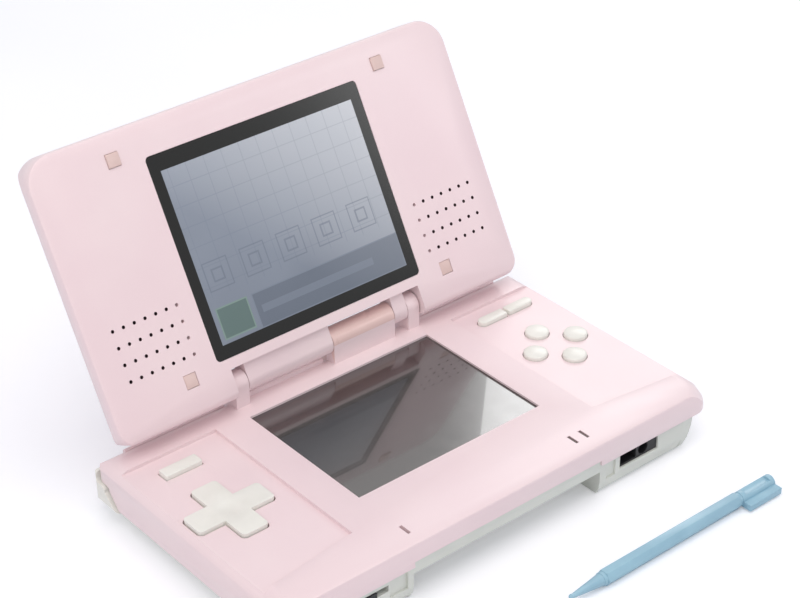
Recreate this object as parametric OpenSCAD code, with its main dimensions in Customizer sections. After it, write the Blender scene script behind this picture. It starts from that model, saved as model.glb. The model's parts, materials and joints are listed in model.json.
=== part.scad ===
// Clamshell handheld game console, lid standing open, with its stylus lying in front of it.
// X runs to the user's right, Y towards the hinge, Z up. The origin is the centre of the
// base's underside. Lengths are in millimetres.

/* [Base] */
// Width of the base over its skirt
case_w = 148.7; // [144:0.1:154]
// Depth of the base, front face to rear face
case_d = 84.7; // [83:0.1:88]
// Height of the base, table to top plane
base_h = 16.8; // [16.5:0.1:17.2]
// Plan radius of the two front corners of the top cover
corner_front_r = 6; // [5:0.5:8]
// Plan radius of the two rear corners of the top cover
corner_rear_r = 4.5; // [4:0.5:6]
// Wall of the moulded covers
wall = 1.6; // [1.4:0.1:1.8]
// Drop of the crowned top from its flat to the side crease
crown_drop = 3.4; // [2.8:0.1:3.8]
// Width of the crowned band on each side
crown_w = 4.7; // [4.2:0.1:5.4]
// How far the side flares out below the crease
side_flare = 0.15; // [0.05:0.05:0.4]
// How far the front face leans out below its crease
front_flare = 0.9; // [0.3:0.05:1.5]
// Height of the seam between top cover and bottom case at the sides
seam_z = 5.1; // [4.9:0.1:5.6]
// Height of the same seam along the front
front_seam_z = 10.3; // [10.1:0.1:10.6]

/* [Lid] */
// Width of the lid
lid_w = 140.5; // [139:0.1:142]
// Hinge axis to the lid's far edge
lid_reach = 76; // [75.4:0.1:77]
// Hinge axis to the lid's heel
lid_heel = 3.6; // [3.4:0.1:3.7]
// Thickness of the lid
lid_t = 11.5; // [11.3:0.1:12]
// Gap between the closed lid and the base
lid_gap = 0.6; // [0.55:0.05:0.8]
// Opening angle of the lid as it stands, measured from closed
lid_open = 118.8; // [0:0.1:160]
// Plan radius of the lid's far corners
lid_far_r = 8.5; // [7:0.5:11]
// Plan radius of the lid's corners beside the hinge
lid_near_r = 5; // [4.8:0.1:6]
// Thickness of the lid's front cover
lid_front_t = 4.2; // [3.8:0.1:4.6]
// Rounding of the lid's outer edge
lid_round = 4.5; // [4:0.1:4.6]
// Width of the slope along the sides of the lid's back
lid_slope_w = 7; // [5.5:0.5:7.5]
// Angle at which that slope leaves the seam
lid_slope_a = 24; // [20:1:28]

/* [Hinge] */
// Radius of the hinge barrels
barrel_r = 3.6; // [3.4:0.05:3.65]
// Hinge axis to the rear face of the base
hinge_inset = 3.6; // [3.6:0.05:4]
// Left end of the notch in the lid's heel
notch_x0 = -32.6; // [-33.4:0.1:-32.4]
// Right end of the notch in the lid's heel
notch_x1 = 33.6; // [33.4:0.1:34.4]
// Inner end of the left ear of the base
ear_left_x = -27.6; // [-28.2:0.1:-27]
// Seam between the lid's long barrel and the base's middle barrel
barrel_mid_x = 1.8; // [0:0.1:4]
// Seam between the base's middle barrel and the lid's short knuckle
knuckle_x0 = 24.1; // [23:0.1:24.6]
// Seam between the lid's short knuckle and the right ear of the base
knuckle_x1 = 29; // [28.6:0.1:29.4]
// Radius of the hinge pins
hinge_pin_r = 1.5; // [1.2:0.05:1.7]

/* [Screens] */
// Width of the opening over the touch screen
touch_w = 63.4; // [62.6:0.1:64]
// Depth of the opening over the touch screen
touch_d = 47.5; // [47:0.1:48.5]
// Centre of the touch screen, along Y
touch_y = 6.3; // [6:0.05:6.5]
// Thickness of the cover's lip over the touch panel
lip_t = 0.7; // [0.6:0.05:0.9]
// Width of the black window in the lid
window_w = 71.6; // [71:0.1:72.4]
// Height of the black window in the lid
window_d = 58.5; // [58:0.1:59]
// Hinge axis to the near edge of the window
window_v = 7.7; // [7.5:0.1:8]
// Black border of the window on each side of the upper display
border_side = 3.4; // [3:0.1:4]
// Black border of the window beside the hinge
border_near = 3.8; // [3.4:0.1:4.4]
// Black border of the window at the lid's far edge
border_far = 4.8; // [4.4:0.1:5.4]
// Corner radius of the window
window_r = 1.3; // [0.8:0.1:2]

/* [Controls] */
// Depth of the two control recesses
recess_depth = 1; // [0.8:0.05:1.1]
// Side of the base to the inner edge of each control recess
recess_side = 32.35; // [31.8:0.05:32.9]
// How far a cap stands above the base's top plane
cap_rise = 0.35; // [0.2:0.05:0.45]
// How far the directional pad stands above the base's top plane
pad_rise = 0; // [0:0.02:0.06]
// Side of the base to the centre of the directional pad
pad_side = 14.95; // [14.8:0.05:15.4]
// Place of the directional pad along Y
pad_y = 1.2; // [0:0.1:2]
// Span of the directional pad
pad_span = 23.8; // [22:0.1:24]
// Width of each arm of the directional pad
pad_arm_w = 8; // [7:0.1:8.2]
// Side of the base to the centre of the four round buttons
face_side = 17.25; // [17:0.05:17.6]
// Place of the four round buttons along Y
face_y = 2.9; // [2:0.1:3.4]
// Distance of each round button from their common centre
face_pitch = 7.85; // [7.4:0.05:8]
// Radius of each round button
face_r = 3.5; // [3:0.05:3.5]
// Travel of the push buttons
press_travel = 1; // [0.7:0.05:1]
// Clearance around each cap in its hole
cap_gap = 0.2; // [0.15:0.01:0.3]
// Length of the start and select buttons
pill_l = 9.7; // [9:0.1:9.8]
// Width of the start and select buttons
pill_w = 3.3; // [2.8:0.1:3.6]
// Length of the power button
power_l = 11.5; // [10.5:0.1:12]
// Width of the power button
power_w = 3.9; // [3.5:0.1:4.2]

/* [Ports] */
// Width of the cartridge slot's tunnel
cart_w = 57.8; // [57:0.1:59]
// Height of the cartridge slot's tunnel
cart_h = 6.5; // [6:0.1:6.6]
// Width of the finger cut-out in front of the cartridge slot
grip_w = 65.4; // [64:0.1:65.8]
// Depth of the finger cut-out
grip_d = 14; // [12:0.1:15]
// Width of the game card slot in the rear face
card_w = 34.4; // [34:0.1:34.8]
// Height of the game card slot
card_h = 4.4; // [4.3:0.05:4.5]
// Radius of the headphone socket
jack_r = 1.8; // [1.77:0.01:1.85]
// Radius of the stylus holder
stylus_hole_r = 2.5; // [2.45:0.01:2.6]
// Length of the stylus
stylus_l = 75; // [72:0.5:78]
// Radius of the stylus body over its corners
stylus_r = 2.35; // [2.2:0.05:2.4]

/* [Hidden] */

// Colours of the photographed finish
pearl_pink = "#EFD3D6";
case_white = "#DDE0DA";
cap_white = "#F1F1EC";
black_resin = "#26262A";
board_green = "#2F6B4A";
steel = "#B9BBBE";
stylus_blue = "#9CC3D5";
rubber_grey = "#B9B4B0";
glass_dark = "#4A4444";
smoke = "#6F7784";

// Smoothness of small and of large round shapes
fine_fn = 48;
wide_fn = 96;

// Clearance between the speakers and the frame around the window
speaker_gap = 2.7;
// Overlap that lets a cutter pass through a face
over = 1;
// Free gap between faces of different moving bodies
run_gap = 0.3;
// Gap left between pieces that seat on each other
seat_gap = 0.05;
// Radial gap of the lid's bores around the hinge pins
pin_clear = 0.05;

front_y = -case_d / 2;
rear_y = case_d / 2;
half_w = case_w / 2;
crease_x = half_w - side_flare;
flat_x = crease_x - crown_w;
crown_r = (crown_w * crown_w + crown_drop * crown_drop) / (2 * crown_drop);
crown_end = acos(crown_w / crown_r);
front_crease_y = front_y + front_flare;
rear_round = 5.5;
front_round = 0.6;
strip_seam_z = front_seam_z + 1.5;
cavity_top = base_h - 2.5;
floor_t = 1.2;
case_inset = 1;
front_inset = 0.7;
case_front_r = corner_front_r + 3.5;
corner_ease_z = base_h - 6.3;
corner_top_ease = [[25, 5], [45, 4.5], [65, 2.6]];
corner_foot_ease = [[25, 4.5], [45, 4.2], [65, 3]];
case_round = seam_z - 0.1;
seam_play = 0.02;
seam_y = [-37, -26, 34, 36];

hinge_y = rear_y - hinge_inset;
lid_face_z = base_h + lid_gap;
lid_top_z = lid_face_z + lid_t;
hinge_z = lid_face_z + 5.5;
lid_y0 = hinge_y - lid_reach;
lid_y1 = hinge_y + lid_heel;
lid_seam_z = lid_face_z + lid_front_t;
notch_v = 4.8;
ear_x0 = notch_x0 + 0.4;
ear_x1 = notch_x1 - 0.4;
heel_cut = 1.9;
barrel_gap = 0.1;
clutch_r = 2.4;
window_t = 1;
display_t = 3;

recess_x = half_w - recess_side;
recess_rear_y = 31.5;
recess_front_y = -27.5;
recess_fall = 4;
recess_z = base_h - recess_depth;
cap_top = base_h + cap_rise;
pad_top = base_h + pad_rise;
flange_t = 0.8;
flange_z = cavity_top - flange_t - 0.1;
flange_edge = 0.7;
screw_z = 0.5;
screw_l = 11.5;
board_z = 9.8;
board_t = 1;
board_top = board_z + board_t;
membrane_t = 0.6;
dome_h = 1.5;
pad_x = half_w - pad_side;
face_x = half_w - face_side;
membrane_r = 12;
top_row_y = 24.8;
start_x = half_w - 11.75;
select_x = start_x - pill_l - 0.8;
power_x = -(half_w - 15.6);
power_y = 23.95;
pad_pivot_z = 13;
pad_gap = 0.4;
pad_flange_r = 9.3;

touch_panel_w = touch_w + 4;
touch_panel_d = touch_d + 3.6;
touch_t = 1.05;
touch_top = base_h - lip_t - seat_gap;
touch_z = touch_top - touch_t;
lower_z = board_top + 0.35;

slot_x = -1.05;
cart_z0 = 1.2;
cart_z1 = cart_z0 + cart_h;
cart_end_y = -6;
card_z0 = 4.9;
card_z1 = card_z0 + card_h;
card_end_y = 7;
jack_x = half_w - 25.95;
jack_z = 7.7;
jack_block_x0 = jack_x - 9.3;
jack_block_x1 = jack_x + 5.4;
jack_block_z0 = 5.3;
jack_block_d = 12;
stylus_x = half_w - 37.35;
stylus_z = 5.3;
holder_end_y = -28;
cap_pocket_d = 14.5;
volume_x = -(half_w - 26.35);
volume_z = 7.6;
volume_slot_l = 12;
volume_slot_h = 2;
volume_knob_l = 4;
light_x = [27.6, 31.6];
light_y = -34.9;
light_l = 3.8;
light_w = 1;
mic_x = -31.2;
mic_y = -35.2;

battery_x0 = 15.35 - half_w;
battery_x1 = -card_w / 2 - 4.8;
battery_x = (battery_x0 + battery_x1) / 2;
battery_w = battery_x1 - battery_x0;
battery_y = 13;
battery_d = 32;
inlet_x = -card_w / 2 - 6;
inlet_w = 8.4;
board_x = half_w - 10.35;
board_y0 = front_y + 7.35;
board_y1 = rear_y - 11.35;
radio_x = half_w - 29.35;
radio_w = 15;
radio_d = 28;
battery_h = 6;
cover_margin = 2;
cover_t = 1.1;

shoulder_x = half_w - 29.35;
shoulder_y = 31.5;
shoulder_z0 = 4.2;
shoulder_z1 = base_h - crown_drop - 0.3;
shoulder_t = 5;
shoulder_bulge = 0.8;
shoulder_back = 0.4;
shoulder_corner_r = 3.2;
shoulder_edge_r = 1.2;
shoulder_cut = 0.35;
shoulder_give = 1.25;
shoulder_step_y = rear_y - 4.3;
shoulder_step_z = shoulder_z0 + 4.65;
shoulder_top_y = rear_y - 1.6;
shoulder_pin_x = shoulder_x + 3.8;
shoulder_pin_y = rear_y - 5.2;
shoulder_pin_r = 0.8;
shoulder_boss_r = 2.2;

plug_side = 3.8;
plug_far_x = window_w / 2 + 8.9;
plug_far_v = lid_reach - 7.5;
plug_near_x = window_w / 2 + 9.2;
plug_near_v = 6.3;
plug_depth = 1.4;
bumper_rise = lid_gap - 0.02;
hole_cols = 7;
hole_rows = 4;
hole_pitch_x = 3.39;
hole_v0 = 12.6;
hole_pitch_v = 4.7;
hole_r = 0.5;
speaker_w = 23;
speaker_x = window_w / 2 + wall + speaker_gap + speaker_w / 2;
hole_x0 = speaker_x - hole_pitch_x * (hole_cols - 1) / 2;
speaker_v = hole_v0 + hole_pitch_v * (hole_rows - 1) / 2;

stylus_y = -69;
stylus_tip_x = -5.7;

// Points of an arc about a centre, from angle a0 to a1 in n steps
function arc(cx, cy, r, a0, a1, n) =
    [for (i = [0:n]) [cx + r * cos(a0 + (a1 - a0) * i / n), cy + r * sin(a0 + (a1 - a0) * i / n)]];

// The same outline mirrored across the vertical axis, in reverse order
function mirrored(pts) = [for (i = [len(pts) - 1:-1:0]) [-pts[i][0], pts[i][1]]];

// Plan of a box with one radius at the front corners and another at the rear ones
module plan(w, y0, y1, rf, rr) {
    for (s = [-1, 1]) {
        translate([s * (w / 2 - rf), y0 + rf]) circle(r = rf, $fn = wide_fn);
        translate([s * (w / 2 - rr), y1 - rr]) circle(r = rr, $fn = wide_fn);
    }
    translate([-w / 2 + rf, y0]) square([w - 2 * rf, rf]);
    translate([-w / 2, y0 + rf]) square([w, y1 - y0 - rf - rr]);
    translate([-w / 2 + rr, y1 - rr]) square([w - 2 * rr, rr]);
}

// Prism whose outline is given in Y and Z, standing along X
module along_x(pts, x0, x1) {
    translate([x0, 0, 0]) rotate([90, 0, 90]) linear_extrude(x1 - x0) polygon(pts);
}

// Prism whose outline is given in X and Z, lying along Y
module along_y(pts, y0, y1) {
    translate([0, y1, 0]) rotate([90, 0, 0]) linear_extrude(y1 - y0) polygon(pts);
}

// Round bar along X
module rod_x(x0, x1, y, z, r) {
    translate([x0, y, z]) rotate([0, 90, 0]) cylinder(r = r, h = x1 - x0, $fn = fine_fn);
}

// Round bar along Y
module rod_y(x, y0, y1, z, r) {
    translate([x, y1, z]) rotate([90, 0, 0]) cylinder(r = r, h = y1 - y0, $fn = fine_fn);
}

// Box given by its two corners
module block(a, b) {
    translate(a) cube([b[0] - a[0], b[1] - a[1], b[2] - a[2]]);
}

// Outer form of the base: plan, side profile and front profile crossed
module base_form() {
    side = concat(arc(flat_x, base_h - crown_r, crown_r, 90, crown_end, 8),
                  [[half_w, seam_z], [half_w, 0]]);
    difference() {
        intersection() {
            linear_extrude(base_h) plan(case_w, front_y, rear_y, corner_front_r, corner_rear_r);
            along_y(concat(mirrored(side), side), front_y - over, rear_y + over);
            along_x(concat([[front_y, 0], [front_y, front_seam_z],
                            [front_crease_y - 0.08, base_h - front_round],
                            [front_crease_y + 0.12, base_h - 0.18],
                            [front_crease_y + front_round, base_h]],
                           arc(rear_y - rear_round, base_h - rear_round, rear_round, 90, 0, 8),
                           [[rear_y, 0]]), -half_w - over, half_w + over);
        }
        for (e = corner_top_ease)
            corner_ease(e[0], corner_reach(half_w, front_y, corner_front_r, e[0]), e[1],
                        corner_ease_z, base_h);
    }
}

// Distance of a front corner of radius r from the middle, in the direction t of the plan
function corner_reach(x, y, r, t) = (x - r) * cos(t) + (-y - r) * sin(t) + r + 0.05;

// Space outside both front corners where their edge recedes by e between the heights z0 and z1
module corner_ease(t, reach, e, z0, z1) {
    h = z1 - z0;
    a = 2 * atan(e / h);
    r = h / sin(a);
    for (s = [0, 1]) mirror([s, 0, 0]) rotate([0, 0, -t])
        along_y(concat(arc(reach - r, z0, r, 0, a, 8), [[reach - e, z1 + 1], [reach + 10, z1 + 1],
                                                        [reach + 10, z0]]), -40, 40);
}

// Hollow inside the base, from the bottom case's floor to the underside of the top cover
module base_cavity() {
    inner_x = half_w - wall - 1.2;
    inner_crease = crease_x - wall;
    side = [[flat_x + 1, cavity_top], [inner_crease, cavity_top - 2.8],
            [inner_x, seam_z], [inner_x, case_round * 0.75], [inner_x - 5.5, floor_t]];
    intersection() {
        translate([0, 0, floor_t]) linear_extrude(cavity_top - floor_t)
            plan(2 * inner_x, front_y + wall + 0.6, rear_y - wall - 0.6,
                 case_front_r - 2, corner_rear_r);
        along_y(concat(mirrored(side), side), front_y, rear_y);
        along_x([[front_y + wall + 2.2, floor_t], [front_y + wall + 0.6, cavity_top],
                 [rear_y - wall - 2.4, cavity_top], [rear_y - wall - 0.6, cavity_top - 3],
                 [rear_y - wall - 0.6, case_round * 0.6], [rear_y - wall - 3, floor_t]],
                -half_w, half_w);
    }
}

// Everything above the seam between the covers, raised by a gap
module above_seam(gap) {
    a = front_y - 2 * over;
    b = rear_y + 2 * over;
    along_x([[a, front_seam_z + gap], [seam_y[0], front_seam_z + gap], [seam_y[1], seam_z + gap],
             [seam_y[2], seam_z + gap], [seam_y[3], front_seam_z + gap],
             [b, front_seam_z + gap], [b, base_h + 2 * over], [a, base_h + 2 * over]],
            -half_w - 2 * over, half_w + 2 * over);
}

// Cross of the directional pad, grown by a margin
module cross_plan(margin) {
    long = pad_span + 2 * margin;
    wide = pad_arm_w + 2 * margin;
    for (a = [0, 90]) rotate(a) plan(long, -wide / 2, wide / 2, 1.2 + margin, 1.2 + margin);
}

// Pill with one round end and one squared end, grown by a margin
module pill_plan(margin, round_side) {
    r = pill_w / 2 + margin;
    end = pill_l / 2 + margin;
    translate([round_side * (end - r), 0]) circle(r = r, $fn = fine_fn);
    translate([round_side > 0 ? -end : -end + r, -r]) square([2 * end - r, 2 * r]);
}

// Plan of the control recess on the side s
module recess_plan(s) {
    polygon([[s * recess_x, recess_front_y], [s * (half_w + over), recess_front_y - recess_fall],
             [s * (half_w + over), recess_rear_y], [s * recess_x, recess_rear_y]]);
}

// Centre of each round button: right, front, rear, left
function face_place(name) = name == "a" ? [face_x + face_pitch, face_y]
    : name == "b" ? [face_x, face_y - face_pitch]
    : name == "x" ? [face_x, face_y + face_pitch] : [face_x - face_pitch, face_y];

// Side view of a shoulder button in Y and Z: a slope up from its front end, a step, then its top
function shoulder_line(ahead, gap) = concat(
    [[rear_y + 2, shoulder_z0 - gap], [shoulder_y - ahead, shoulder_z0 - gap]],
    arc(shoulder_step_y - ahead, shoulder_step_z + gap, 1.5, 180, 90, 6),
    arc(shoulder_top_y - 1.3 - ahead, shoulder_step_z + 2.8 + gap, 1.3, -90, 0, 6),
    [[shoulder_top_y - ahead, shoulder_z1 + gap], [rear_y + 2, shoulder_z1 + gap]]);

// Space around the shoulder buttons, cut out of both covers
module shoulder_space(s) {
    x0 = s < 0 ? -half_w - over : shoulder_x - shoulder_cut;
    x1 = s < 0 ? -shoulder_x + shoulder_cut : half_w + over;
    translate([s * shoulder_pin_x, shoulder_pin_y, shoulder_z0 - shoulder_cut])
        cylinder(r = shoulder_boss_r + shoulder_cut,
                 h = shoulder_z1 - shoulder_z0 + 2 * shoulder_cut, $fn = fine_fn);
    intersection() {
        along_x(shoulder_line(shoulder_give, shoulder_cut), x0, x1);
        union() {
            block([x0, rear_y - shoulder_t - shoulder_give, 0], [x1, rear_y + over, base_h]);
            block([s < 0 ? x0 : half_w - shoulder_t - 1.2, 0, 0],
                  [s < 0 ? -half_w + shoulder_t + 1.2 : x1, rear_y + over, base_h]);
        }
    }
}

// Ear or barrel of the base between two places along the hinge
module base_barrel(x0, x1) {
    rod_x(x0, x1, hinge_y, hinge_z, barrel_r);
    block([x0, hinge_y - barrel_r, cavity_top], [x1, hinge_y + barrel_r, hinge_z]);
}

// Barrel of the lid with the web that joins it to the cover
module lid_barrel(x0, x1) {
    rod_x(x0, x1, hinge_y, hinge_z, barrel_r);
    block([x0, hinge_y - notch_v - 1.5, hinge_z - barrel_r], [x1, hinge_y, lid_seam_z]);
    block([x0, hinge_y - notch_v + seat_gap, hinge_z - barrel_r],
          [x1, hinge_y, hinge_z + barrel_r * 0.5]);
}

// Bore of the hinge: pins on both sides and the clutch's seat in the middle barrel
module hinge_bores(clear) {
    rod_x(notch_x0 - over, ear_left_x + 6 + clear, hinge_y, hinge_z, hinge_pin_r + clear);
    rod_x(knuckle_x0 - 3, notch_x1 + over, hinge_y, hinge_z, hinge_pin_r + clear);
}

// Turns what is drawn for the closed lid to the angle at which it stands
module lid_at_rest() {
    translate([0, hinge_y, hinge_z]) rotate([-lid_open, 0, 0])
        translate([0, -hinge_y, -hinge_z]) children();
}

// Slab with a rounded edge all round: pts are inset and height up the edge
module soft_slab(w, y0, y1, rf, rr, pts) {
    last = len(pts) - 1;
    for (c = [[y0 + rf, rf], [y1 - rr, rr]], s = [-1, 1])
        translate([s * (w / 2 - c[1]), c[0], 0])
            rotate_extrude($fn = wide_fn)
                polygon(concat([[0, pts[0][1]]], [for (p = pts) [c[1] - p[0], p[1]]],
                               [[0, pts[last][1]]]));
    edge = [for (p = pts) [w / 2 - p[0], p[1]]];
    along_y(concat(mirrored(edge), edge), y0 + rf, y1 - rr);
    near = [for (i = [last:-1:0]) [y0 + pts[i][0], pts[i][1]]];
    far = [for (p = pts) [y1 - p[0], p[1]]];
    mid = (y0 + y1) / 2;
    along_x(concat([[mid, pts[last][1]]], near, [[mid, pts[0][1]]]), -w / 2 + rf, w / 2 - rf);
    along_x(concat([[mid, pts[0][1]]], far, [[mid, pts[last][1]]]), -w / 2 + rr, w / 2 - rr);
}

// Pink top cover with its recesses, screen opening, button holes and hinge ears
module base_top_cover() {
    color(pearl_pink) difference() {
        union() {
            difference() {
                intersection() {
                    base_form();
                    above_seam(0);
                }
                base_cavity();
                block([slot_x - grip_w / 2, front_y - over, 0],
                      [slot_x + grip_w / 2, front_y + wall + 1.2, strip_seam_z]);
            }
            base_barrel(ear_x0, ear_left_x - barrel_gap);
            base_barrel(barrel_mid_x + barrel_gap, knuckle_x0 - barrel_gap);
            base_barrel(knuckle_x1 + barrel_gap, ear_x1);
            screen_shelf();
            cover_bosses();
        }
        rod_x(ear_x0 - over, ear_x1 + over, hinge_y, hinge_z, hinge_pin_r + 0.02);
        rod_x(barrel_mid_x - over, knuckle_x0 - 2.5, hinge_y, hinge_z, clutch_r + 0.02);
        for (s = [-1, 1]) {
            translate([0, 0, recess_z]) linear_extrude(base_h) recess_plan(s);
            shoulder_space(s);
            pin_hole(s);
        }
        for (p = screw_places)
            translate([p[0], p[1], seam_z])
                cylinder(r = 0.92, h = screw_z + screw_l + 0.2 - seam_z, $fn = fine_fn);
        control_holes();
        block([-touch_w / 2, touch_y - touch_d / 2, seam_z],
              [touch_w / 2, touch_y + touch_d / 2, base_h + over]);
        block([-touch_panel_w / 2 - seat_gap, touch_y - touch_panel_d / 2 - seat_gap, seam_z],
              [touch_panel_w / 2 + seat_gap, touch_y + touch_panel_d / 2 + seat_gap,
               base_h - lip_t]);
    }
}

// Frame under the top that locates the touch panel and the lower display
module screen_shelf() {
    block([-touch_panel_w / 2 - wall, touch_y - touch_panel_d / 2 - wall, lower_z],
          [touch_panel_w / 2 + wall, touch_y + touch_panel_d / 2 + wall, cavity_top + 0.5]);
}

// Bosses under the top cover for the case screws and the shoulder pins
module cover_bosses() {
    for (p = screw_places)
        translate([p[0], p[1], seam_z + 2.1])
            cylinder(r = 2, h = cavity_top - seam_z - 1.6, $fn = fine_fn);
    for (s = [-1, 1])
        translate([s * shoulder_pin_x, shoulder_pin_y, shoulder_z1 + shoulder_cut])
            cylinder(r = 2, h = cavity_top - shoulder_z1 - shoulder_cut + 0.5, $fn = fine_fn);
}

// Hole for the pin of a shoulder button
module pin_hole(s) {
    translate([s * shoulder_pin_x, shoulder_pin_y, shoulder_z0 - 1.7])
        cylinder(r = shoulder_pin_r + 0.02, h = shoulder_z1 - shoulder_z0 + 3, $fn = fine_fn);
}

// Holes in the top cover for the caps, the lights and the microphone
module control_holes() {
    deep = cavity_top - over;
    for (n = ["a", "b", "x", "y"])
        translate([face_place(n)[0], face_place(n)[1], deep])
            cylinder(r = face_r + cap_gap, h = base_h, $fn = fine_fn);
    translate([-pad_x, pad_y, deep - 2]) linear_extrude(base_h) cross_plan(pad_gap);
    translate([select_x, top_row_y, deep]) linear_extrude(base_h) pill_plan(cap_gap, -1);
    translate([start_x, top_row_y, deep]) linear_extrude(base_h) pill_plan(cap_gap, 1);
    translate([power_x, power_y, deep]) linear_extrude(base_h)
        square([power_l + 2 * cap_gap, power_w + 2 * cap_gap], center = true);
    for (x = light_x)
        translate([x, light_y, deep]) linear_extrude(base_h)
            square([light_w, light_l], center = true);
    translate([mic_x, mic_y, deep]) linear_extrude(base_h)
        square([light_w, light_l], center = true);
}

// White bottom case with the cartridge cut-out, the ports and the stylus holder
module base_bottom_case() {
    color(case_white) difference() {
        union() {
            difference() {
                case_form();
                base_cavity();
            }
            block([slot_x - grip_w / 2 + seat_gap, front_y + front_inset, front_seam_z - 0.5],
                  [slot_x + grip_w / 2 - seat_gap, front_y + wall + 1.1,
                   strip_seam_z - seat_gap]);
            cartridge_well();
            card_well();
            stylus_holder();
            screw_posts();
            pin_posts();
        }
        block([slot_x - grip_w / 2, front_y - over, -over],
              [slot_x + grip_w / 2, front_y + grip_d, cart_z1 + 0.1]);
        block([slot_x - cart_w / 2, front_y - over, cart_z0],
              [slot_x + cart_w / 2, cart_end_y, cart_z1]);
        block([-card_w / 2, card_end_y, card_z0], [card_w / 2, rear_y + over, card_z1]);
        block([jack_block_x0, front_y - over, jack_block_z0],
              [jack_block_x1, front_y + jack_block_d + 0.2, front_seam_z + over]);
        rod_y(stylus_x, holder_end_y, rear_y + over, stylus_z, stylus_hole_r);
        block([stylus_x - stylus_hole_r - 0.4, rear_y - cap_pocket_d, stylus_z - 2.9],
              [stylus_x + stylus_hole_r + 2.6, rear_y + over, stylus_z + 2.9]);
        volume_slot();
        block([inlet_x - inlet_w / 2, rear_y - 9, 4.6],
              [inlet_x + inlet_w / 2, rear_y + over, 8.4]);
        battery_bay();
        for (s = [-1, 1]) {
            shoulder_space(s);
            pin_hole(s);
        }
        for (p = screw_places) {
            translate([p[0], p[1], -over]) cylinder(r = 1.9, h = 2.6 + over, $fn = fine_fn);
            translate([p[0], p[1], -over]) cylinder(r = 0.95, h = seam_z + 4, $fn = fine_fn);
        }
        leg_panels();
    }
}

// Outer form of the bottom case below the seam
module case_form() {
    w = case_w - 2 * case_inset;
    side = concat([[w / 2, front_seam_z]],
                  arc(w / 2 - case_round, case_round, case_round, 0, -90, 10));
    y0 = front_y + front_inset;
    y1 = rear_y - case_inset;
    difference() {
        intersection() {
            linear_extrude(front_seam_z) plan(w, y0, y1, case_front_r, corner_rear_r + 2);
            along_y(concat(side, mirrored(side)), front_y, rear_y);
            along_x([[y0, front_seam_z], [y0, 4.5], [y0 + 0.5, 1.4], [y0 + 1.8, 0], [y1 - 4.6, 0],
                     [y1 - 1.5, 1.4], [y1, 4.2], [y1, front_seam_z]], -half_w, half_w);
        }
        above_seam(-seam_play);
        translate([0, 0, front_seam_z]) mirror([0, 0, 1]) for (e = corner_foot_ease)
            corner_ease(e[0], corner_reach(w / 2, y0, case_front_r, e[0]), e[1], 0, front_seam_z);
    }
}

// Walls around the cartridge tunnel and the finger cut-out in front of it
module cartridge_well() {
    t = 1;
    block([slot_x - cart_w / 2 - t, front_y + 4, 0],
          [slot_x + cart_w / 2 + t, cart_end_y, cart_z1 + t]);
    block([slot_x - grip_w / 2 - t, front_y + 2, 0],
          [slot_x + grip_w / 2 + t, front_y + grip_d + t, cart_z1 + t]);
}

// Guide of the game card behind the rear slot
module card_well() {
    t = 1.1;
    block([-card_w / 2 - t, card_end_y, card_z0 - t],
          [card_w / 2 + t, rear_y - case_inset, min(card_z1 + 0.45, board_z - seat_gap)]);
    for (x = [-card_w / 2 - t, card_w / 2])
        block([x, card_end_y, 0.3], [x + t, rear_y - 3, card_z1]);
}

// Tube that holds the stylus, moulded on the case
module stylus_holder() {
    block([stylus_x - stylus_hole_r - 1.4, holder_end_y - 1.2, 0.3],
          [stylus_x + stylus_hole_r + 1.4, rear_y - 3, stylus_z + stylus_hole_r + 1]);
    block([stylus_x - stylus_hole_r - 1.4, rear_y - cap_pocket_d - 1, 0.3],
          [stylus_x + stylus_hole_r + 3.6, rear_y - case_inset - 0.3, 9.2]);
}

// Places of the case screws
screw_places = [[-board_x, -24], [board_x, -24], [-board_x, 17], [board_x, 17],
                [-34, rear_y - 5.85], [30, rear_y - 5.85]];

// Posts inside the bottom case that the screws pass through
module screw_posts() {
    for (p = screw_places)
        translate([p[0], p[1], 0.3]) cylinder(r = 2.9, h = seam_z + 1.7, $fn = fine_fn);
}

// Posts that hold the lower ends of the shoulder pins
module pin_posts() {
    for (s = [-1, 1]) translate([s * shoulder_pin_x, shoulder_pin_y, 0.6])
        cylinder(r = 2.6, h = shoulder_z0 - shoulder_cut - 0.6, $fn = fine_fn);
}

// Slot in the front left leg for the volume slider
module volume_slot() {
    block([volume_x - volume_slot_l / 2, front_y - over, volume_z - volume_slot_h / 2],
          [volume_x + volume_slot_l / 2, front_y + 6, volume_z + volume_slot_h / 2]);
}

// Shallow panels in the front of both legs
module leg_panels() {
    block([slot_x - grip_w / 2 - 7.8, front_y - over, 4], [slot_x - grip_w / 2 - 1.8, front_y + front_inset + 0.8, front_seam_z - 0.8]);
    block([slot_x + grip_w / 2 + 2.4, front_y - over, 4.4], [slot_x + grip_w / 2 + 5.8, front_y + front_inset + 0.6, front_seam_z - 0.9]);
}

// Opening for the battery in the underside
module battery_bay() {
    block([battery_x - battery_w / 2 - 0.4, battery_y - battery_d / 2 - 0.4, -over],
          [battery_x + battery_w / 2 + 0.4, battery_y + battery_d / 2 + 0.4, 8]);
    block([battery_x - battery_w / 2 - cover_margin - 0.15,
           battery_y - battery_d / 2 - cover_margin - 0.15, -over],
          [battery_x + battery_w / 2 + cover_margin + 0.15,
           battery_y + battery_d / 2 + cover_margin + 0.15, cover_t - 0.1]);
}

// Lid of the battery bay
module battery_cover() {
    color(case_white) difference() {
        block([battery_x - battery_w / 2 - cover_margin, battery_y - battery_d / 2 - cover_margin, 0],
              [battery_x + battery_w / 2 + cover_margin, battery_y + battery_d / 2 + cover_margin,
               cover_t - 0.15]);
        translate([battery_x, battery_y - battery_d / 2 - 0.1, -over])
            cylinder(r = 1.3, h = cover_t + 2 * over, $fn = fine_fn);
    }
}

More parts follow.
